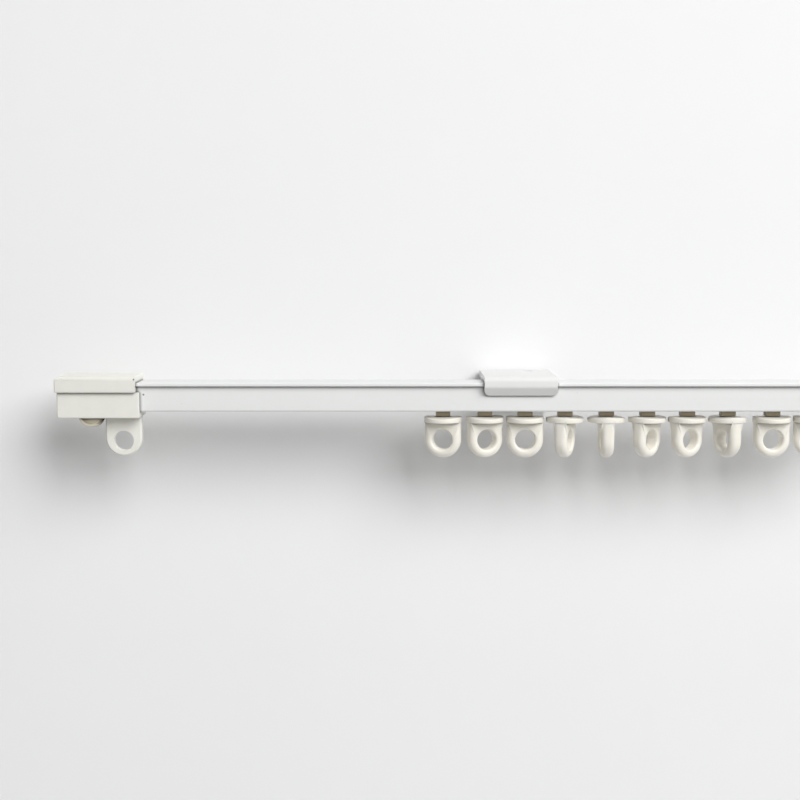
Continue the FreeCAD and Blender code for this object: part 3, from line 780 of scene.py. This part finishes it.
class TRACK_OT_stage(Operator):
    """Set up the pale wall and floor, the soft lights and the camera"""

    bl_idname = "track.stage"
    bl_label = "Stage"

    def execute(self, context):
        stage = context.scene.track_stage
        self.background(stage)
        self.lights(context, stage)
        self.camera(context, stage)
        context.scene.view_settings.view_transform = "Standard"
        return {"FINISHED"}

    def background(self, stage):
        """Wall at the back of the wall plates, which reach just through it, and a floor well below in front."""
        left, right, front, back, top = -8.0, 8.0, -5.0, -0.1 * MM, 8.0
        low = CAD_BOX[0][2] - stage.floor_drop
        wall = [(left, back, low), (right, back, low), (right, back, top), (left, back, top)]
        floor = [(left, front, low), (right, front, low), (right, back, low), (left, back, low)]
        plane("wall", wall, wall_material(stage.wall_colour))
        plane("floor", floor, floor_material(stage.floor_colour))

    def lights(self, context, stage):
        """Large soft light at the upper right and an even fill."""
        lamp = bpy.data.lights.new("key", "AREA")
        lamp.shape = "SQUARE"
        lamp.size = stage.key_size
        lamp.energy = stage.key_power
        key = bpy.data.objects.new("key", lamp)
        context.scene.collection.objects.link(key)
        flat = math.cos(stage.key_rise)
        direction = Vector((flat * math.sin(stage.key_side), -flat * math.cos(stage.key_side),
                            math.sin(stage.key_rise)))
        aim = Vector((stage.camera_side, RAIL_FRONT.y, RAIL_FRONT.z))
        key.location = aim + direction * stage.key_distance
        key.rotation_euler = direction.to_track_quat("Z", "Y").to_euler()
        world = context.scene.world or bpy.data.worlds.new("fill")
        context.scene.world = world
        world.use_nodes = True
        self.world_strength(world.node_tree, stage)

    def world_strength(self, tree, stage):
        """Even fill, paler where it is seen or mirrored, and behind the wall for the backs of its plates."""
        background = tree.nodes["Background"]
        background.inputs["Color"].default_value = WHITE
        start = Shade(tree, None)
        way = start.node("ShaderNodeTexCoord", output="Generated")
        towards_back = way.node("ShaderNodeSeparateXYZ", {}, {"Vector": way}, output="Y")
        pale = start.maths("GREATER_THAN", towards_back, 0.0)
        for kind in ("Camera", "Glossy", "Transmission"):
            seen = start.node("ShaderNodeLightPath", output=f"Is {kind} Ray")
            pale = start.maths("MAXIMUM", pale, seen)
        strength = pale * (stage.backdrop_strength - stage.fill_strength) + stage.fill_strength
        tree.links.new(strength.socket, background.inputs["Strength"])

    def camera(self, context, stage):
        """Camera in front of the track, a little above it."""
        data = bpy.data.cameras.new("camera")
        data.sensor_fit = "HORIZONTAL"
        data.angle = stage.camera_width
        camera = bpy.data.objects.new("camera", data)
        context.scene.collection.objects.link(camera)
        camera.location = (stage.camera_side, RAIL_FRONT.y - stage.camera_distance,
                           RAIL_FRONT.z + stage.camera_rise)
        camera.rotation_euler = (QUARTER - stage.camera_pitch, 0.0, 0.0)
        context.scene.camera = camera


class TRACK_PT_panel(Panel):
    """Sidebar panel that lists the sizes, colours and steps"""

    bl_idname = "TRACK_PT_panel"
    bl_label = "Curtain Track"
    bl_space_type = "VIEW_3D"
    bl_region_type = "UI"
    bl_category = "Curtain Track"

    def draw(self, context):
        for group in (context.scene.track_finish, context.scene.track_moulding, context.scene.track_stage):
            for name in group.bl_rna.properties.keys():
                if name not in ("rna_type", "name"):
                    self.layout.prop(group, name)
        for step in STEPS:
            self.layout.operator(step.bl_idname)


STEPS = (TRACK_OT_stage, TRACK_OT_rail, TRACK_OT_brackets, TRACK_OT_caps, TRACK_OT_fasteners, TRACK_OT_runners,
         TRACK_OT_eyes)
CLASSES = (TrackFinish, TrackMoulding, TrackStage, *STEPS, TRACK_PT_panel)


def register():
    """Makes Blender know the classes and gives the scene its settings."""
    for item in CLASSES:
        bpy.utils.register_class(item)
    bpy.types.Scene.track_finish = PointerProperty(type=TrackFinish)
    bpy.types.Scene.track_moulding = PointerProperty(type=TrackMoulding)
    bpy.types.Scene.track_stage = PointerProperty(type=TrackStage)


def unregister():
    """Takes away what register adds."""
    del bpy.types.Scene.track_stage
    del bpy.types.Scene.track_moulding
    del bpy.types.Scene.track_finish
    for item in reversed(CLASSES):
        bpy.utils.unregister_class(item)


def main():
    """Registers the classes and runs every step."""
    register()
    bpy.ops.track.stage()
    bpy.ops.track.rail()
    bpy.ops.track.brackets()
    bpy.ops.track.caps()
    bpy.ops.track.fasteners()
    bpy.ops.track.runners()
    bpy.ops.track.eyes()


if __name__ == "__main__":
    main()
